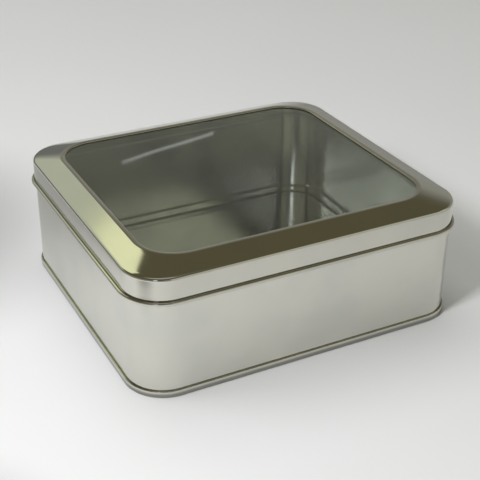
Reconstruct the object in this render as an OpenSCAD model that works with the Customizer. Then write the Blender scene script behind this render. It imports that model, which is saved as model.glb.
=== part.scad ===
// Window lid tin: a seamed tinplate box with a lift-off lid that frames a clear window.
// The origin is at the middle of the ring that the tin stands on, +Z is up and the
// long sides run along X. Every metal piece is a bent sheet that is swept round the tin.

/* [Body] */
// Length of the body over its two short walls
body_l = 155; // [120:1:220]
// Width of the body over its two long walls
body_w = 141; // [100:1:200]
// Outer radius of the body's four upright corners
corner_r = 17; // [14:0.5:24]
// Height of the rolled rim of the body above the table
rim_h = 55.3; // [35:0.2:90]
// Outer radius of the roll along the rim
rim_roll_r = 0.7; // [0.6:0.05:0.9]
// Thickness of the tinplate
sheet = 0.28; // [0.22:0.02:0.32]

/* [Side seam] */
// Distance of the side seam from the middle of the right wall, towards the front
seam_offset = 44; // [0:1:46]
// Width of the folded side seam
lock_w = 4; // [3:0.5:6]
// Width of the fine groove that the side seam leaves outside
lock_groove_w = 0.4; // [0.2:0.1:0.8]
// Depth of that groove
lock_groove_depth = 0.1; // [0.04:0.02:0.14]

/* [Base] */
// Height of the double seam that joins the base to the wall
base_seam_h = 3.1; // [2.6:0.1:4]
// Clearance between the folded layers of the double seam
fold_gap = 0.03; // [0.01:0.01:0.05]
// Length of the two hooks that are folded into each other in the double seam
hook_l = 1.6; // [1.2:0.1:1.8]
// Height of the base panel's outer channel, up to the upper face of the sheet
panel_h = 2.7; // [2:0.1:4]
// Width of the channel between the wall and the raised middle of the panel
channel_w = 6.4; // [4:0.2:10]
// Rise of the middle of the panel above the channel
panel_rise = 0.8; // [0.4:0.1:1.5]

/* [Lid] */
// Clearance between the body and the inside of the lid's skirt
lid_gap = 0.25; // [0.15:0.05:0.5]
// Gap between the rim and the lid's shoulder above it
seat_gap = 0.3; // [0.2:0.05:0.5]
// Height of the skirt, from the middle of its rolled bead up to the shoulder
skirt_h = 10.5; // [6:0.25:20]
// Outer radius of the rolled bead
bead_r = 0.9; // [0.7:0.05:1]
// Width of the sloping shoulder along the straight edges, measured in plan
shoulder_w = 10; // [7:0.2:12]
// Slope of the shoulder above the horizontal, along the straight edges
shoulder_slope = 18; // [14:0.2:26]
// Radius of the bend between the skirt and the shoulder
crease_r = 1.4; // [0.6:0.1:2]
// Radius of the corners of the ridge, where the shoulder meets the flat land
ridge_corner_r = 18.5; // [14:0.5:26]

/* [Window] */
// Width of the flat land between the ridge and the window
land_w = 2; // [1.4:0.1:3]
// Width of the hem that is folded under the window's edge
hem_w = 1.6; // [1:0.1:1.8]
// Thickness of the clear pane
pane_t = 0.35; // [0.2:0.05:0.5]

/* [Inner frame] */
// Gap between the rolled rim and the inner frame's upright wall
plug_gap = 0.3; // [0.2:0.05:0.6]
// Depth of the inner frame's upright wall below the rim of the body
plug_depth = 7.3; // [4:0.1:12]
// Width of the hem along the lower edge of that wall
plug_hem_w = 1.2; // [0.8:0.1:2]
// Clearance between the lid's shoulder and the inner frame under it
nest_gap = 0.05; // [0.02:0.01:0.1]

/* [Hidden] */
$fn = 96;
half = sheet / 2;
fold_r = half + fold_gap;
layer = sheet + fold_gap;
// Each bend reaches this angle into the straight runs beside it, so that they join
lap = 0.3;

// Middle lines of the layers of the double seam, outwards from the outside of the wall
chuck_u = -sheet - fold_gap - half;
cover_hook_u = fold_gap + half;
body_hook_u = cover_hook_u + layer;
outer_fold_u = body_hook_u + layer;
body_fold_z = half + layer;
panel_z = panel_h - half;

// The lid's skirt and shoulder, as places on the middle of the sheet
skirt_u = lid_gap + half;
slant = half / cos(shoulder_slope);
rise = tan(shoulder_slope);
crease_z = rim_h + seat_gap + slant - rise * (skirt_u + rim_roll_r);
ridge_u = skirt_u - shoulder_w;
land_z = crease_z + rise * shoulder_w;
bead_z = crease_z - skirt_h;
bead_mid_r = bead_r - half;
// The foot of the slope: the place where the bend above the skirt ends
foot_trim = crease_r * tan((90 - shoulder_slope) / 2);
foot_u = skirt_u - foot_trim;
foot_z = crease_z + rise * foot_trim;
foot_r = corner_r + foot_u;
climb = land_z - foot_z;
// The corners of the ridge have their middle this much nearer the middle of the lid
lean = ridge_corner_r - corner_r - ridge_u;
// The sheet of the corners is thinner by this on both sides, and reaches this far into the
// sheet beside it, so that its edges lie inside
tuck = 0.005;
reach = 0.05;
// How far the rim of the body and the bead of the lid are rolled in, in degrees
roll_sweep = 300;

// The window: its inset from the outside of the body, and the layers under the land
window_inset = land_w - ridge_u;
window_l = body_l - 2 * window_inset;
window_w = body_w - 2 * window_inset;
window_r = ridge_corner_r - land_w;
hem_z = land_z - 2 * fold_r;
pane_top = hem_z - half;
flange_z = pane_top - pane_t - half;

// The inner frame: its slope lies under the shoulder, at the named clearance
plug_u = -2 * rim_roll_r - plug_gap - half;
nest_drop = (sheet + nest_gap) / cos(shoulder_slope);
flange_u = shoulder_u(flange_z + nest_drop);
plug_top_z = crease_z + rise * (skirt_u - plug_u) - nest_drop;
plug_bottom_z = rim_h - plug_depth + half;
// The upright wall ends inside the sheet of the slope, which is a little lower in the corners
wall_top_z = plug_top_z - 0.6 * half;
// The pane ends just inside the place where the slope's underside meets its upper face
pane_inset = 2 * nest_gap - shoulder_u(pane_top + slant);
pane_corner_r = shoulder_r(pane_top + slant) - 2 * nest_gap;

// The middle of the shoulder's sheet at a height: its place, and the radius of its corners
function shoulder_u(z) = skirt_u - (z - crease_z) / rise;
function shoulder_r(z) = foot_r + (ridge_corner_r - foot_r) * (z - foot_z) / climb;

// The unit vector and the angle of a step from one point to the next
function heading(a, b) = atan2(b[1] - a[1], b[0] - a[0]);
function spot(p) = [p[0], p[1]];
function turn_at(p, i) =
    let (t = heading(p[i], p[i + 1]) - heading(p[i - 1], p[i]))
    t > 180 ? t - 360 : t < -180 ? t + 360 : t;
function trim_at(p, i) =
    (i == 0 || i == len(p) - 1) ? 0 : p[i][2] * tan(abs(turn_at(p, i)) / 2);

// One straight run of the sheet between two points, each shortened by its bend
module run(a, b, trim_a, trim_b) {
    length = norm(spot(b) - spot(a)) - trim_a - trim_b;
    if (length > 0.001)
        translate(spot(a)) rotate(heading(a, b)) translate([trim_a, -half])
            square([length, sheet]);
}

// A ring of sheet, and a wedge from its middle that reaches over it
module ring(r) {
    difference() {
        circle(r + half);
        if (r > half) circle(r - half);
    }
}
module wedge(r, from, to) {
    reach = 2 * (r + sheet);
    polygon(concat([[0, 0]],
        [for (k = [0:2]) let (a = from + (to - from) * k / 2)
            reach * [cos(a), sin(a)] * (k == 1 ? 1.5 : 1)]));
}

// One bend of the sheet: a part of a ring whose middle line touches both runs
module bend(p, i) {
    turn = turn_at(p, i);
    side = turn > 0 ? 1 : -1;
    r = p[i][2];
    translate(spot(p[i])) rotate(heading(p[i - 1], p[i])) translate([-trim_at(p, i), side * r])
        intersection() {
            ring(r);
            wedge(r, -(90 + lap) * side, (lap - 90) * side + turn);
        }
}

// A roll of the sheet's edge round a middle, open by less than half a turn
module curl(u, z, r, from, sweep) {
    translate([u, z])
        difference() {
            ring(r);
            wedge(r, from + sweep, from + 360 - lap);
        }
}

// A bent sheet seen from its end. Each point is [outwards, up, bend radius of the middle line].
module bent_sheet(p) {
    for (i = [0:len(p) - 2]) run(p[i], p[i + 1], trim_at(p, i), trim_at(p, i + 1));
    for (i = [1:len(p) - 2]) bend(p, i);
}

// Sweeps a profile round a rectangle with round corners
module around(length, width, radius) {
    for (side = [0:3]) {
        across = side % 2 == 0 ? length / 2 : width / 2;
        along = side % 2 == 0 ? width / 2 - radius : length / 2 - radius;
        rotate(90 * side) {
            translate([across, along, 0]) rotate([90, 0, 0])
                linear_extrude(2 * along) children();
            translate([across - radius, along, 0])
                rotate_extrude(angle = 90) translate([radius, 0]) children();
        }
    }
}

// A flat rectangle with round corners, inset from the outside of the body
module rounded(length, width, radius) {
    square([length - 2 * radius, width], center = true);
    square([length, width - 2 * radius], center = true);
    for (x = [-1, 1], y = [-1, 1])
        translate([x * (length / 2 - radius), y * (width / 2 - radius)]) circle(radius);
}

module inset_plate(inset, radius, z, thickness) {
    translate([0, 0, z]) linear_extrude(thickness)
        rounded(body_l - 2 * inset, body_w - 2 * inset, radius);
}

// One corner of the lid, filled solid up to the shoulder: a leaning cone round the upright
// middle of the body's corner. A shift moves it up.
module filled_corner(shift) {
    below = -0.3;
    above = 1.3;
    translate([-lean * below, -lean * below, foot_z + climb * below + shift])
        multmatrix([[1, 0, -lean / climb, 0], [0, 1, -lean / climb, 0], [0, 0, 1, 0], [0, 0, 0, 1]])
            cylinder(h = climb * (above - below),
                r1 = foot_r + (ridge_corner_r - foot_r) * below,
                r2 = foot_r + (ridge_corner_r - foot_r) * above);
}

// The sheet of the slope in one corner, lowered by a drop, out to a radius and up to a height
module sloping_corner(drop, outer_r, top_z) {
    step_x = foot_r - ridge_corner_r + lean;
    inner = -1.3;
    outer = 0.1;
    bottom_z = foot_z - climb / 4 - drop;
    intersection() {
        difference() {
            filled_corner(slant - tuck - drop);
            filled_corner(tuck - slant - drop);
        }
        translate([0, 0, bottom_z]) linear_extrude(top_z - bottom_z)
            intersection() {
                circle(outer_r);
                polygon([
                    [foot_r + outer * step_x, outer * lean - reach],
                    [2 * foot_r, 2 * foot_r],
                    [outer * lean - reach, foot_r + outer * step_x],
                    [inner * lean - reach, foot_r + inner * step_x],
                    [foot_r + inner * step_x, inner * lean - reach]]);
            }
    }
}

// Four straight runs with the first child as their profile, that end where the corners of
// the slope begin, and the second child in each corner of the body
module around_shoulder() {
    for (side = [0:3]) {
        across = (side % 2 == 0 ? body_l : body_w) / 2;
        along = (side % 2 == 0 ? body_w : body_l) / 2 - corner_r;
        rotate(90 * side) {
            intersection() {
                translate([across, along, 0]) rotate([90, 0, 0])
                    linear_extrude(2 * along) children(0);
                linear_extrude(2 * rim_h)
                    for (end = [0, 1]) mirror([0, end])
                        polygon([
                            [across + corner_r, 0],
                            [across + corner_r, along],
                            [across + foot_u, along],
                            [across + ridge_u, along - lean],
                            [across - corner_r, along - lean],
                            [across - corner_r, 0]]);
            }
            translate([across - corner_r, along, 0]) children(1);
        }
    }
}

module body_wall() {
    lock_t = 2 * sheet;
    lock_bottom = base_seam_h + sheet;
    lock_top = rim_h - 2 * rim_roll_r - sheet;
    color([0.75, 0.75, 0.70])
    difference() {
        union() {
            around(body_l, body_w, corner_r) {
                bent_sheet([
                    [body_hook_u, body_fold_z + hook_l, 0],
                    [body_hook_u, body_fold_z, fold_r + half],
                    [-half, body_fold_z, fold_r + half],
                    [-half, rim_h - rim_roll_r, 0]]);
                curl(-rim_roll_r, rim_h - rim_roll_r, rim_roll_r - half, 0, roll_sweep);
            }
            translate([body_l / 2 - sheet - lock_t, -seam_offset - lock_w / 2, lock_bottom])
                cube([lock_t + half, lock_w, lock_top - lock_bottom]);
        }
        translate([body_l / 2 - lock_groove_depth, -seam_offset - lock_w / 2, lock_bottom])
            cube([sheet, lock_groove_w, rim_h]);
    }
}

module base_panel() {
    color([0.72, 0.72, 0.70]) {
        around(body_l, body_w, corner_r)
            bent_sheet([
                [cover_hook_u, base_seam_h - half - hook_l, 0],
                [cover_hook_u, base_seam_h - half, fold_r + half],
                [outer_fold_u, base_seam_h - half, fold_r + half],
                [outer_fold_u, half, fold_r + half],
                [chuck_u, half, fold_r + half],
                [chuck_u, panel_z, 2 * sheet],
                [-channel_w, panel_z, 2 * sheet],
                [-channel_w - panel_rise, panel_z + panel_rise, 2 * sheet],
                [-channel_w - 2 * panel_rise, panel_z + panel_rise, 0]]);
        inset_plate(channel_w + 1.9 * panel_rise, corner_r - channel_w - 1.9 * panel_rise,
            panel_z + panel_rise - half, sheet);
    }
}

// The lid's skirt with its bead, and the bend above it
module skirt(top) {
    bent_sheet([top, [skirt_u, crease_z, crease_r], [skirt_u, bead_z, 0]]);
    curl(skirt_u + bead_mid_r, bead_z, bead_mid_r, 180, roll_sweep);
}

module lid_frame() {
    land_edge_u = ridge_u - land_w / 2;
    color([0.70, 0.70, 0.62]) {
        around_shoulder() {
            union() {
                skirt([ridge_u, land_z, 0]);
                bent_sheet([[land_edge_u, land_z, 0], [ridge_u, land_z, 0], [foot_u, foot_z, 0]]);
            }
            union() {
                rotate_extrude(angle = 90) translate([corner_r, 0])
                    intersection() {
                        skirt([ridge_u, land_z, 0]);
                        translate([foot_u, bead_z - skirt_h]) square(3 * skirt_h);
                    }
                sloping_corner(0, foot_r + reach, land_z + half - tuck);
            }
        }
        difference() {
            inset_plate(reach - ridge_u, ridge_corner_r - reach, land_z - half, sheet);
            inset_plate(window_inset - sheet, window_r + sheet, land_z - sheet, 2 * sheet);
        }
        around(window_l, window_w, window_r)
            bent_sheet([
                [2 * fold_r, land_z, 0],
                [half, land_z, fold_r],
                [half, hem_z, fold_r],
                [hem_w, hem_z, 0]]);
    }
}

module window_pane() {
    color([0.80, 0.88, 0.90, 0.35])
        inset_plate(pane_inset, pane_corner_r, pane_top - pane_t, pane_t);
}

module inner_frame() {
    color([0.66, 0.66, 0.64]) {
        around(body_l, body_w, corner_r)
            bent_sheet([
                [plug_u, wall_top_z, 0],
                [plug_u, plug_bottom_z, fold_r],
                [plug_u - 2 * fold_r, plug_bottom_z, fold_r],
                [plug_u - 2 * fold_r, plug_bottom_z + plug_hem_w, 0]]);
        around_shoulder() {
            bent_sheet([
                [flange_u - hem_w, flange_z, 0],
                [flange_u, flange_z, 0],
                [plug_u, plug_top_z, 0]]);
            sloping_corner(nest_drop, corner_r + plug_u + half - tuck, flange_z + half - tuck);
        }
        difference() {
            inset_plate(reach - flange_u, shoulder_r(flange_z + nest_drop) - reach,
                flange_z - half, sheet);
            inset_plate(window_inset, window_r, flange_z - sheet, 2 * sheet);
        }
    }
}

body_wall();
base_panel();
lid_frame();
window_pane();
inner_frame();
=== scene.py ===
import math

import bmesh
import bpy
from mathutils import Matrix, Vector


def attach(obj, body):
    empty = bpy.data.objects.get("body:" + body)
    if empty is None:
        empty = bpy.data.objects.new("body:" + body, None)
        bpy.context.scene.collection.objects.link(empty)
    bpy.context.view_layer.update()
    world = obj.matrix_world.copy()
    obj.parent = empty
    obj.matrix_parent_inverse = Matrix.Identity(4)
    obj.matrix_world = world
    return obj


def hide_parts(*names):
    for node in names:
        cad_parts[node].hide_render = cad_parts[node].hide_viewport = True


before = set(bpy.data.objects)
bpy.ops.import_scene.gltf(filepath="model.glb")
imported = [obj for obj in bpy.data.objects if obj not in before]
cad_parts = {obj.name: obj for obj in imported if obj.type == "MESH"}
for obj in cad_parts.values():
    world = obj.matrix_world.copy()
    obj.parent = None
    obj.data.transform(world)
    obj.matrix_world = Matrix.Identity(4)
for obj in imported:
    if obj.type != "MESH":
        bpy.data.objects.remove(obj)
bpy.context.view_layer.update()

# Sizes, in millimetres. An "out" is measured outwards from the outside of the body's wall and
# an "up" from the table, both to the middle of a sheet. MM turns them into metres.
MM = 0.001
BODY_LENGTH = 155.0
BODY_WIDTH = 141.0
CORNER_RADIUS = 17.0
RIM_HEIGHT = 55.3
SHEET = 0.28
HALF = SHEET / 2
FOLD_GAP = 0.03
FOLD_RADIUS = HALF + FOLD_GAP
LAYER = SHEET + FOLD_GAP
PRESSED_RADIUS = 2 * SHEET
ROLL_SWEEP = 300

RIM_ROLL_RADIUS = 0.7

# The double seam, the channel and the raised middle of the base
BASE_SEAM_HEIGHT = 3.1
HOOK_LENGTH = 1.6
COVER_HOOK_OUT = FOLD_RADIUS
BODY_HOOK_OUT = COVER_HOOK_OUT + LAYER
OUTER_FOLD_OUT = BODY_HOOK_OUT + LAYER
CHUCK_OUT = -SHEET - FOLD_RADIUS
BODY_FOLD_UP = HALF + LAYER
CHANNEL_WIDTH = 6.4
PANEL_UP = 2.7 - HALF
PANEL_RISE = 0.8
STEP_SLOPE = 45

# The folded side seam in the right wall
SEAM_Y = -44.0
LOCK_WIDTH = 4.0
LOCK_THICKNESS = 2 * SHEET
LOCK_EDGE = 0.2

# The lid: bead, skirt, crease, shoulder and ridge
BEAD_RADIUS = 0.9
SKIRT_OUT = 0.25 + HALF
SHOULDER_WIDTH = 10.0
SLOPE = math.radians(18)
RISE = math.tan(SLOPE)
SEAT_GAP = 0.3
CREASE_UP = RIM_HEIGHT + SEAT_GAP + HALF / math.cos(SLOPE) - RISE * (SKIRT_OUT + RIM_ROLL_RADIUS)
RIDGE_OUT = SKIRT_OUT - SHOULDER_WIDTH
LAND_UP = CREASE_UP + RISE * SHOULDER_WIDTH
SKIRT_HEIGHT = 10.5
BEAD_UP = CREASE_UP - SKIRT_HEIGHT
CREASE_RADIUS = 1.4
RIDGE_RADIUS = 0.8
RIDGE_CORNER_RADIUS = 18.5
FOOT_OUT = SKIRT_OUT - CREASE_RADIUS * math.tan(math.pi / 4 - SLOPE / 2)
LEAN = RIDGE_CORNER_RADIUS - CORNER_RADIUS - RIDGE_OUT

# The window, its hem and the pane under it
LAND_WIDTH = 2.0
LAND_START = 0.6
WINDOW_INSET = LAND_WIDTH - RIDGE_OUT
WINDOW_RADIUS = RIDGE_CORNER_RADIUS - LAND_WIDTH
HEM_UP = LAND_UP - 2 * FOLD_RADIUS
HEM_WIDTH = 1.6
PANE_THICKNESS = 0.35
FLANGE_UP = HEM_UP - SHEET - PANE_THICKNESS

# The inner frame: its flange, its slope under the shoulder and its upright wall, the plug
PLUG_GAP = 0.3
PLUG_DEPTH = 7.3
NEST_GAP = 0.05
PLUG_OUT = -2 * RIM_ROLL_RADIUS - PLUG_GAP - HALF
NEST_DROP = (SHEET + NEST_GAP) / math.cos(SLOPE)
FLANGE_OUT = SKIRT_OUT - (FLANGE_UP + NEST_DROP - CREASE_UP) / RISE
PLUG_TOP_UP = CREASE_UP + RISE * (SKIRT_OUT - PLUG_OUT) - NEST_DROP
PLUG_BOTTOM_UP = RIM_HEIGHT - PLUG_DEPTH + HALF
PLUG_HEM_WIDTH = 1.2

# How many facets a sweep has along each straight side and round each corner
WALL_STEPS = 24
CORNER_STEPS = 24
MERGE_DISTANCE = 0.002
SHARP_ANGLE = 32


# Bending sheet metal
class BentSheet:
    """The middle of a tinplate sheet. It is drawn as its cut end, bend by bend, in a plane
    where +X is outwards from the body's wall and +Z is up, and then swept round the tin."""

    def __init__(self, out, up, heading):
        self.mesh = bmesh.new()
        self.heading = math.radians(heading)
        self.tip = self.mesh.verts.new((out * MM, 0, up * MM))

    def ahead(self):
        return Vector((math.cos(self.heading), 0, math.sin(self.heading)))

    def straight(self, length, steps=1):
        for _ in range(steps):
            grown = bmesh.ops.extrude_vert_indiv(self.mesh, verts=[self.tip])
            self.tip = grown["verts"][0]
            bmesh.ops.translate(self.mesh, verts=[self.tip], vec=self.ahead() * length * MM / steps)
        return self

    def bend(self, angle, radius, steps=6):
        """Turns upwards by a positive angle, from +X towards +Z, and back by a negative one."""
        way = 1 if angle > 0 else -1
        side = Vector((-math.sin(self.heading), 0, math.cos(self.heading))) * way
        turned = bmesh.ops.spin(self.mesh, geom=[self.tip], cent=self.tip.co + side * radius * MM,
                                axis=(0, -way, 0), dvec=(0, 0, 0), angle=math.radians(abs(angle)),
                                steps=steps, use_merge=False, use_duplicate=False)
        self.tip = next(v for v in turned["geom_last"] if isinstance(v, bmesh.types.BMVert))
        self.heading += math.radians(angle)
        return self

    def sweep(self, inset=0.0, radius=CORNER_RADIUS):
        """Takes the cut end once round a rectangle with round corners."""
        length, width = BODY_LENGTH - 2 * inset, BODY_WIDTH - 2 * inset
        mesh = self.mesh
        bmesh.ops.translate(mesh, verts=mesh.verts, vec=Vector((length / 2, radius - width / 2, 0)) * MM)
        end = mesh.verts[:] + mesh.edges[:]
        for side in range(4):
            turn = Matrix.Rotation(math.pi / 2 * side, 3, "Z")
            across, along = (length, width) if side % 2 == 0 else (width, length)
            run = turn @ Vector((0, along - 2 * radius, 0)) * MM / WALL_STEPS
            for _ in range(WALL_STEPS):
                grown = bmesh.ops.extrude_edge_only(
                    mesh, edges=[e for e in end if isinstance(e, bmesh.types.BMEdge)])
                verts = [v for v in grown["geom"] if isinstance(v, bmesh.types.BMVert)]
                bmesh.ops.translate(mesh, verts=verts, vec=run)
                new = set(verts)
                end = verts + [e for e in grown["geom"]
                               if isinstance(e, bmesh.types.BMEdge) and new.issuperset(e.verts)]
            middle = turn @ Vector((across / 2 - radius, along / 2 - radius, 0)) * MM
            end = bmesh.ops.spin(mesh, geom=end, cent=middle, axis=(0, 0, 1), dvec=(0, 0, 0),
                                 angle=math.pi / 2, steps=CORNER_STEPS, use_merge=False,
                                 use_duplicate=False)["geom_last"]
        bmesh.ops.remove_doubles(mesh, verts=mesh.verts, dist=MERGE_DISTANCE * MM)
        return mesh


def lean_corners(mesh, least=0.0):
    """Rounds the corners of a swept lid off more and more from the foot of its slope up to
    the ridge. The straight runs stay where they are, and least is the smallest change."""
    middle = Vector((BODY_LENGTH / 2 - CORNER_RADIUS, BODY_WIDTH / 2 - CORNER_RADIUS)) * MM
    tiny = 0.01 * MM
    rings = {}
    for v in mesh.verts:
        arm = Vector([max(abs(v.co[k]) - middle[k], 0) for k in (0, 1)])
        rings.setdefault(round(arm.length / MM, 3), []).append(v)
    for radius, ring in rings.items():
        climbed = (FOOT_OUT + CORNER_RADIUS - radius) / (FOOT_OUT - RIDGE_OUT)
        change = max(min(climbed, 1.0) * LEAN, least)
        if change <= 0:
            continue
        groups = []
        for k in (0, 1):
            squeeze = Vector((1, 1, 1))
            squeeze[k] = 1 - change * MM / middle[k]
            run = [v for v in ring if abs(v.co[k]) <= middle[k] + tiny]
            groups.append((run, squeeze, Vector((0, 0, 0)), Vector((0, 0, 0))))
        for x in (-1, 1):
            for y in (-1, 1):
                arc = [v for v in ring if x * v.co.x > middle.x + tiny
                       and y * v.co.y > middle.y + tiny]
                grow = 1 + change / radius
                groups.append((arc, Vector((grow, grow, 1)), Vector((x * middle.x, y * middle.y, 0)),
                               Vector((-x, -y, 0)) * change * MM))
        for verts, factors, about, move in groups:
            bmesh.ops.scale(mesh, verts=verts, vec=factors, space=Matrix.Translation(-about))
            bmesh.ops.translate(mesh, verts=verts, vec=move)


def open_rings(mesh):
    """The open edges of a mesh, as separate rings, the widest first."""
    loose = {e for e in mesh.edges if e.is_boundary}
    rings = []
    while loose:
        ring, front = set(), [loose.pop()]
        while front:
            edge = front.pop()
            ring.add(edge)
            near = {e for v in edge.verts for e in v.link_edges} & loose
            loose -= near
            front += near
        rings.append(list(ring))
    return sorted(rings, key=lambda ring: -max(v.co.x for e in ring for v in e.verts))


def add_piece(name, mesh, body, stands_for, thickness=SHEET):
    """Gives a swept sheet its thickness and makes it a piece that rides on a body."""
    bmesh.ops.recalc_face_normals(mesh, faces=mesh.faces)
    data = bpy.data.meshes.new(name)
    mesh.to_mesh(data)
    mesh.free()
    piece = bpy.data.objects.new(name, data)
    bpy.context.scene.collection.objects.link(piece)
    if thickness:
        wall = piece.modifiers.new("thickness", "SOLIDIFY")
        wall.thickness, wall.offset, wall.use_even_offset = thickness * MM, 0, True
        finished = bpy.data.meshes.new_from_object(piece.evaluated_get(
            bpy.context.evaluated_depsgraph_get()))
        piece.modifiers.clear()
        piece.data = finished
        finished.name = name
    soften(piece.data)
    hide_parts(stands_for)
    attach(piece, body)
    return piece


def soften(data):
    """Shades a mesh smooth, with its cut edges sharp."""
    mesh = bmesh.new()
    mesh.from_mesh(data)
    for face in mesh.faces:
        face.smooth = True
    for edge in mesh.edges:
        edge.smooth = len(edge.link_faces) == 2 and edge.calc_face_angle(0) < math.radians(SHARP_ANGLE)
    mesh.to_mesh(data)
    mesh.free()


# The five pieces
def make_body_wall():
    wall = BentSheet(BODY_HOOK_OUT, BODY_FOLD_UP + HOOK_LENGTH, -90)
    wall.straight(HOOK_LENGTH - FOLD_RADIUS - HALF)
    wall.bend(-90, FOLD_RADIUS + HALF)
    wall.straight(BODY_HOOK_OUT + HALF - 2 * (FOLD_RADIUS + HALF))
    wall.bend(-90, FOLD_RADIUS + HALF)
    wall.straight(RIM_HEIGHT - RIM_ROLL_RADIUS - BODY_FOLD_UP - FOLD_RADIUS - HALF, 8)
    wall.bend(ROLL_SWEEP, RIM_ROLL_RADIUS - HALF, 20)
    return add_piece("body_shell", wall.sweep(), "tin", "body_wall")


def make_lock_seam():
    """The folded side seam, seen from inside as a flat strip."""
    low, high = BASE_SEAM_HEIGHT + SHEET, RIM_HEIGHT - 2 * RIM_ROLL_RADIUS - SHEET
    mesh = bmesh.new()
    bmesh.ops.create_cube(mesh, size=MM)
    bmesh.ops.scale(mesh, verts=mesh.verts, vec=(LOCK_THICKNESS + HALF, LOCK_WIDTH, high - low))
    bmesh.ops.translate(mesh, verts=mesh.verts, vec=Vector((
        BODY_LENGTH / 2 - SHEET - LOCK_THICKNESS / 2 + HALF / 2, SEAM_Y, (low + high) / 2)) * MM)
    upright = [e for e in mesh.edges if abs(e.verts[0].co.z - e.verts[1].co.z) > MM]
    bmesh.ops.bevel(mesh, geom=upright, offset=LOCK_EDGE * MM, segments=3, affect="EDGES",
                    profile=0.5, material=-1)
    return add_piece("lock_seam", mesh, "tin", "body_wall", 0)


def make_base():
    base = BentSheet(COVER_HOOK_OUT, BASE_SEAM_HEIGHT - HALF - HOOK_LENGTH, 90)
    fold = FOLD_RADIUS + HALF
    pressed = PRESSED_RADIUS
    base.straight(HOOK_LENGTH - fold)
    base.bend(-90, fold)
    base.bend(-90, fold)
    base.straight(BASE_SEAM_HEIGHT - SHEET - 2 * fold, 2)
    base.bend(-90, fold)
    base.straight(OUTER_FOLD_OUT - CHUCK_OUT - 2 * fold)
    base.bend(-90, fold)
    base.straight(PANEL_UP - HALF - fold - pressed)
    base.bend(90, pressed)
    step_trim = pressed * math.tan(math.radians(STEP_SLOPE / 2))
    base.straight(CHANNEL_WIDTH + CHUCK_OUT - pressed - step_trim, 3)
    base.bend(-STEP_SLOPE, pressed, 4)
    base.straight(PANEL_RISE / math.sin(math.radians(STEP_SLOPE)) - 2 * step_trim)
    base.bend(STEP_SLOPE, pressed, 4)
    base.straight(PANEL_RISE)
    mesh = base.sweep()
    middle = open_rings(mesh)[-1]
    bmesh.ops.contextual_create(mesh, geom=middle)
    return add_piece("base_panel_shell", mesh, "tin", "base_panel")


def make_lid():
    slope = math.degrees(SLOPE)
    ridge_trim = RIDGE_RADIUS * math.tan(SLOPE / 2)
    crease_turn = 90 - slope
    crease_trim = CREASE_RADIUS * math.tan(math.radians(crease_turn) / 2)
    lid = BentSheet(RIDGE_OUT - LAND_START, LAND_UP, 0)
    lid.straight(LAND_START - ridge_trim)
    lid.bend(-slope, RIDGE_RADIUS, 4)
    lid.straight(SHOULDER_WIDTH / math.cos(SLOPE) - ridge_trim - crease_trim, 8)
    lid.bend(-crease_turn, CREASE_RADIUS, 8)
    lid.straight(CREASE_UP - crease_trim - BEAD_UP, 3)
    lid.bend(ROLL_SWEEP, BEAD_RADIUS - HALF, 20)
    mesh = lid.sweep()
    lean_corners(mesh)

    hem = BentSheet(FOLD_RADIUS, LAND_UP, 180)
    hem.bend(180, FOLD_RADIUS, 8)
    hem.straight(HEM_WIDTH)
    hem_mesh = hem.sweep(WINDOW_INSET, WINDOW_RADIUS)
    spare = bpy.data.meshes.new("hem")
    hem_mesh.to_mesh(spare)
    hem_mesh.free()
    mesh.from_mesh(spare)
    bpy.data.meshes.remove(spare)
    land = [e for ring in open_rings(mesh) for e in ring
            if all(abs(v.co.z - LAND_UP * MM) < 0.01 * MM for v in e.verts)]
    bmesh.ops.triangle_fill(mesh, edges=land, use_beauty=True, normal=(0, 0, 1))
    return add_piece("lid_shell", mesh, "lid", "lid_frame")


def make_inner_frame():
    slope = math.degrees(SLOPE)
    pressed = PRESSED_RADIUS
    flange_trim = pressed * math.tan(SLOPE / 2)
    shoulder = math.hypot(PLUG_OUT - FLANGE_OUT, FLANGE_UP - PLUG_TOP_UP)
    plug_turn = 90 - slope
    plug_trim = pressed * math.tan(math.radians(plug_turn) / 2)
    inner = BentSheet(-WINDOW_INSET, FLANGE_UP, 0)
    inner.straight(FLANGE_OUT + WINDOW_INSET - flange_trim, 2)
    inner.bend(-slope, pressed, 3)
    inner.straight(shoulder - flange_trim - plug_trim, 3)
    inner.bend(-plug_turn, pressed, 6)
    inner.straight(PLUG_TOP_UP - plug_trim - PLUG_BOTTOM_UP - FOLD_RADIUS, 3)
    inner.bend(-180, FOLD_RADIUS, 8)
    inner.straight(PLUG_HEM_WIDTH - FOLD_RADIUS)
    mesh = inner.sweep()
    lean_corners(mesh, LEAN * (FOOT_OUT - PLUG_OUT) / (FOOT_OUT - RIDGE_OUT))
    return add_piece("inner_frame_shell", mesh, "lid", "inner_frame")


# Finishes
class Value:
    """A shader socket that takes part in sums."""

    def __init__(self, finish, socket):
        self.finish = finish
        self.socket = socket

    def work_out(self, operation, *terms):
        return self.finish.node("ShaderNodeMath", {"operation": operation}, dict(enumerate(terms)))

    def __add__(self, other):
        return self.work_out("ADD", self, other)

    def __sub__(self, other):
        return self.work_out("SUBTRACT", self, other)

    def __rsub__(self, other):
        return self.work_out("SUBTRACT", other, self)

    def __mul__(self, other):
        return self.work_out("MULTIPLY", self, other)

    def __abs__(self):
        return self.work_out("ABSOLUTE", self)

    def below(self, other):
        return self.work_out("LESS_THAN", self, other)

    def highest(self, other):
        return self.work_out("MAXIMUM", self, other)

    __radd__ = __add__
    __rmul__ = __mul__


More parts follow.
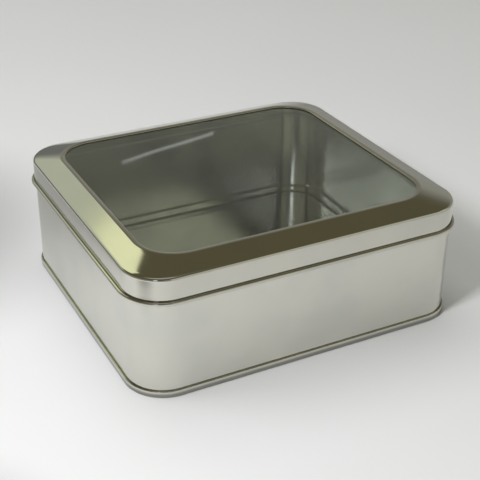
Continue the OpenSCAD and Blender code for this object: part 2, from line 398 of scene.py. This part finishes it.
class Finish:
    """The shader of a material or of the room, written node by node."""

    def __init__(self, owner):
        self.owner = owner
        owner.use_nodes = True
        self.tree = owner.node_tree
        self.tree.nodes.clear()

    def node(self, kind, settings=None, sockets=None, out=0):
        """Adds one node and gives back the socket that it is wanted for."""
        made = self.tree.nodes.new(kind)
        for key, value in (settings or {}).items():
            if key == "stops":
                while len(made.color_ramp.elements) < len(value):
                    made.color_ramp.elements.new(1)
                for stop, (place, colour) in zip(made.color_ramp.elements, value):
                    stop.position, stop.color = place, colour
            else:
                setattr(made, key, value)
        for key, value in (sockets or {}).items():
            if isinstance(value, Value):
                self.tree.links.new(value.socket, made.inputs[key])
            else:
                made.inputs[key].default_value = value
        return Value(self, made.outputs[out]) if made.outputs else None

    def place(self, stretch=(1, 1, 1)):
        """Object coordinates in millimetres, squeezed by stretch."""
        here = self.node("ShaderNodeTexCoord", out="Object")
        return self.node("ShaderNodeVectorMath", {"operation": "MULTIPLY"},
                         {0: here, 1: [1000 * s for s in stretch]})

    def noise(self, size, detail=2.0, stretch=(1, 1, 1)):
        """Noise from 0 to 1 whose grains are about size millimetres across."""
        return self.node("ShaderNodeTexNoise", {"noise_dimensions": "3D"},
                         {"Vector": self.place(stretch), "Scale": 1 / size, "Detail": detail,
                          "Roughness": 0.5}, out="Fac")

    def mix(self, factor, first, second):
        return self.node("ShaderNodeMix", {"data_type": "RGBA"},
                         {0: factor, 6: first, 7: second}, out=2)

    def clip(self, value, low, high, to_low=0.0, to_high=1.0):
        return self.node("ShaderNodeMapRange", {"interpolation_type": "SMOOTHSTEP"},
                         {"Value": value, "From Min": low, "From Max": high,
                          "To Min": to_low, "To Max": to_high})

    def axis(self, name):
        return self.node("ShaderNodeSeparateXYZ", None, {0: self.place()}, out=name)

    def bump(self, height, distance, normal=None):
        """Height from 0 to 1 stands for distance millimetres."""
        sockets = {"Height": height, "Distance": distance * MM, "Strength": 1.0}
        if normal:
            sockets["Normal"] = normal
        return self.node("ShaderNodeBump", None, sockets)

    def done(self, shader):
        self.node("ShaderNodeOutputMaterial", None, {"Surface": shader})
        return self.owner


def tinplate(name, tint, dull, gloss, spread, wave, seam=False, foot=False):
    """Bright tinned steel: rolled grain, soft waves and faint smudges. The gloss is the
    roughness of a clean place, spread is what a smudge adds, and wave is the depth of the
    waves. The body shows the groove of its side seam, and the base a foot darkened with
    painted shade where it stands on the table."""
    f = Finish(bpy.data.materials.new(name))
    smudge = f.noise(23, 3)
    grain = f.noise(0.35, 2, (0.03, 0.03, 1))
    patch = f.clip(smudge, 0.38, 0.68)
    colour = f.mix(patch, tint, dull)
    rough = gloss + spread * patch + 0.04 * grain
    sway = f.noise(38, 1) * 0.75 + f.noise(9, 1) * 0.08
    normal = f.bump(sway, wave)
    normal = f.bump(grain, 0.0002, normal)
    if seam:
        line = f.clip(abs(f.axis("Y") - (SEAM_Y - LOCK_WIDTH / 2)), 0.12, 0.3)
        line = line.highest(f.axis("X").below(BODY_LENGTH / 2 - 1))
        normal = f.bump(line, 0.1, normal)
        colour = f.mix(line, GROOVE, colour)
    if foot:
        # Painted shade: the foot of the base turns darker towards the table, most below 1.3 mm and none
        # above 2.6 mm
        colour = f.mix(f.clip(f.axis("Z"), 1.3, 2.6, 0.8, 0), colour, PAINTED_FOOT_SHADE)
    return f.done(f.node("ShaderNodeBsdfPrincipled", None, {
        "Base Color": colour, "Metallic": 1.0, "Roughness": rough, "Normal": normal}))


def clear_plastic(name):
    """The thin clear pane: it passes light straight through and mirrors a little of it."""
    f = Finish(bpy.data.materials.new(name))
    haze = f.clip(f.noise(17, 3), 0.45, 0.75)
    normal = f.bump(f.noise(45, 1), 0.03)
    glare = f.node("ShaderNodeBsdfPrincipled", None, {
        "Base Color": (0.93, 0.95, 0.95, 1), "Metallic": 1.0, "Roughness": 0.01 + 0.02 * haze,
        "Normal": normal})
    through = f.node("ShaderNodeBsdfTransparent", None, {"Color": (0.95, 0.97, 0.96, 1)})
    edge = f.node("ShaderNodeFresnel", None, {"IOR": 1.5, "Normal": normal})
    outside = 1 - f.node("ShaderNodeNewGeometry", out="Backfacing")
    return f.done(f.node("ShaderNodeMixShader", None, {
        0: outside * (1.64 * edge + 0.01 * haze), 1: through, 2: glare}))


def paint(piece, material):
    piece.data.materials.clear()
    piece.data.materials.append(material)


# The tin
body_shell = make_body_wall()
lock_seam = make_lock_seam()
base_shell = make_base()
lid_shell = make_lid()
inner_shell = make_inner_frame()
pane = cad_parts["window_pane"]

WARM = (0.67, 0.66, 0.60, 1)
COOL = (0.62, 0.62, 0.57, 1)
GROOVE = (0.2, 0.2, 0.18, 1)
# The colour of the painted shade on the foot of the base
PAINTED_FOOT_SHADE = (0.2, 0.195, 0.17, 1)
LID_WARM = (0.62, 0.605, 0.54, 1)
LID_COOL = (0.59, 0.58, 0.53, 1)
body_finish = tinplate("body tinplate", WARM, COOL, 0.14, 0.04, 0.06, seam=True)
paint(body_shell, body_finish)
paint(lock_seam, body_finish)
paint(base_shell, tinplate("base tinplate", WARM, COOL, 0.12, 0.04, 0.05, foot=True))
paint(lid_shell, tinplate("lid tinplate", LID_WARM, LID_COOL, 0.06, 0.03, 0.05))
paint(inner_shell, tinplate("inner tinplate", WARM, COOL, 0.16, 0.05, 0.05))
for slot in pane.material_slots:
    slot.material = clear_plastic("clear pane")


# Table, lights, room and camera
TABLE_DROP = 0.02
TABLE_DARK = (0.675, 0.68, 0.70, 1)
TABLE_PALE = (0.705, 0.71, 0.73, 1)
TABLE_SHADE = (0.23, 0.23, 0.235, 1)
# Places of painted shade on the table beside the view, which the left wall and the near corner
# # mirror: the middle of each, where its shade starts and ends, and its depth
SHADES = ((-163, 128, 45, 145, 0.7), (-180, -114, 10, 66, 0.75))


def make_table():
    """A pale table, just under the tin, with soft places of painted shade beside the view."""
    mesh = bmesh.new()
    bmesh.ops.create_grid(mesh, x_segments=1, y_segments=1, size=4.0)
    bmesh.ops.translate(mesh, verts=mesh.verts, vec=(0, 0, -TABLE_DROP * MM))
    data = bpy.data.meshes.new("table")
    mesh.to_mesh(data)
    mesh.free()
    table = bpy.data.objects.new("table", data)
    bpy.context.scene.collection.objects.link(table)
    f = Finish(bpy.data.materials.new("table top"))
    colour = f.mix(f.noise(160, 2), TABLE_DARK, TABLE_PALE)
    for x, y, near, far, depth in SHADES:
        away = f.node("ShaderNodeVectorMath", {"operation": "DISTANCE"},
                      {0: f.place(), 1: (x, y, 0)}, out=1)
        colour = f.mix(f.clip(away, near, far, depth, 0), colour, TABLE_SHADE)
    data.materials.append(f.done(f.node("ShaderNodeBsdfPrincipled", None, {
        "Base Color": colour, "Roughness": 0.75})))


def make_lamp(name, azimuth, elevation, distance, size, strength, colour):
    """A soft lamp seen from the tin at an azimuth from +Y towards +X and an elevation. The
    strength is how bright its face is. The room behind it is what the metal mirrors."""
    lamp = bpy.data.lights.new(name, "AREA")
    lamp.shape = "SQUARE"
    lamp.size = size
    lamp.energy = strength * math.pi * size * size
    lamp.color = colour
    light = bpy.data.objects.new(name, lamp)
    a, e = math.radians(azimuth), math.radians(elevation)
    way = Vector((math.sin(a) * math.cos(e), math.cos(a) * math.cos(e), math.sin(e)))
    light.visible_glossy = False
    light.location = way * distance + Vector((0, 0, 0.03))
    light.rotation_mode = "QUATERNION"
    light.rotation_quaternion = way.to_track_quat("Z", "Y")
    bpy.context.scene.collection.objects.link(light)


# What the metal mirrors besides the table, as the sine of the elevation and the colour: pale
# low down, brown and dark higher up, and a pale ceiling straight above
ROOM = ((0.0, (0.32, 0.32, 0.30, 1)), (0.2, (0.34, 0.34, 0.305, 1)),
        (0.33, (0.35, 0.35, 0.31, 1)), (0.44, (0.25, 0.245, 0.207, 1)),
        (0.53, (0.145, 0.137, 0.10, 1)), (0.64, (0.12, 0.11, 0.065, 1)),
        (0.92, (0.12, 0.11, 0.065, 1)), (0.97, (0.46, 0.46, 0.42, 1)))
# Brighter and darker places in the room, in degrees: the two azimuths, the two elevations,
# the width of the soft edge, how far it climbs for each degree of azimuth, and the colour
PLACES = ((-60, 17, -8, 18, 4, 0, (0.195, 0.20, 0.195, 1)),
          (100, 179, -5, 40, 4, 0, (0.56, 0.56, 0.48, 1)),
          (-163, -148, 19, 32, 1, 0, (0.07, 0.08, 0.095, 1)),
          (-147.6, -138, 20, 31, 1, 0, (2.1, 2.2, 2.45, 1)),
          (-40, 5, 19, 34, 4, 0, (0.60, 0.64, 0.53, 1)),
          (-16, 5.5, 33, 51, 1, 0, (1.12, 1.17, 0.77, 1)),
          (20.4, 25.8, 24.5, 24.65, 0.1, -0.27, (1.1, 1.12, 1.08, 1)))


def make_room():
    """The soft room round the table, which the metal and the pane mirror."""
    world = bpy.data.worlds.new("room")
    bpy.context.scene.world = world
    f = Finish(world)
    way = f.node("ShaderNodeTexCoord", out="Generated")
    east, north, up = (f.node("ShaderNodeSeparateXYZ", None, {0: way}, out=k) for k in "XYZ")
    azimuth = east.work_out("ARCTAN2", east, north) * math.degrees(1)
    elevation = up.work_out("ARCSINE", up) * math.degrees(1)
    colour = f.node("ShaderNodeValToRGB", {"stops": ROOM}, {0: up})
    for left, right, low, high, soft, tilt, place in PLACES:
        height = elevation - (azimuth - left) * tilt
        inside = (f.clip(azimuth, left - soft, left + soft)
                  * f.clip(azimuth, right - soft, right + soft, 1, 0)
                  * f.clip(height, low - soft, low + soft)
                  * f.clip(height, high - soft, high + soft, 1, 0))
        colour = f.mix(inside, colour, place)
    back = f.node("ShaderNodeBackground", None, {"Color": colour})
    f.node("ShaderNodeOutputWorld", None, {"Surface": back})


# Where the photograph was taken from, in metres, which way the camera points, in degrees, and
# its focal length in the picture's own pixels
VIEW_PLACE = (-0.19893, -0.38802, 0.26235)
VIEW_AZIMUTH, VIEW_ELEVATION, VIEW_ROLL = -27.427, 28.860, 0.456
FOCAL_LENGTH_PIXELS = 1055.3
PICTURE_WIDTH_PIXELS = 480
SENSOR_WIDTH = 36


def make_camera():
    """The photograph's view of the tin."""
    azimuth, elevation, roll = (math.radians(a) for a in (VIEW_AZIMUTH, VIEW_ELEVATION, VIEW_ROLL))
    back = Vector((math.sin(azimuth) * math.cos(elevation),
                   -math.cos(azimuth) * math.cos(elevation), math.sin(elevation)))
    right = Vector((math.cos(azimuth), math.sin(azimuth), 0))
    up = back.cross(right)
    side = right * math.cos(roll) + up * math.sin(roll)
    top = up * math.cos(roll) - right * math.sin(roll)
    lens = bpy.data.cameras.new("photo view")
    lens.sensor_width = SENSOR_WIDTH
    lens.lens = FOCAL_LENGTH_PIXELS / PICTURE_WIDTH_PIXELS * SENSOR_WIDTH
    lens.clip_start, lens.clip_end = 0.01, 50
    camera = bpy.data.objects.new("photo view", lens)
    turn = Matrix((side, top, back)).transposed().to_4x4()
    camera.matrix_world = Matrix.Translation(VIEW_PLACE) @ turn
    bpy.context.scene.collection.objects.link(camera)
    bpy.context.scene.camera = camera


make_table()
make_lamp("left lamp", -112, 41, 0.75, 0.15, 60, (1.0, 1.0, 1.0))
make_lamp("left back lamp", -60, 40, 2.0, 1.0, 3.2, (0.99, 1.0, 1.0))
make_lamp("ceiling lamp", 10, 68, 2.5, 2.0, 1.6, (0.98, 0.99, 1.0))
make_room()
make_camera()
bpy.context.scene.view_settings.view_transform = "Standard"
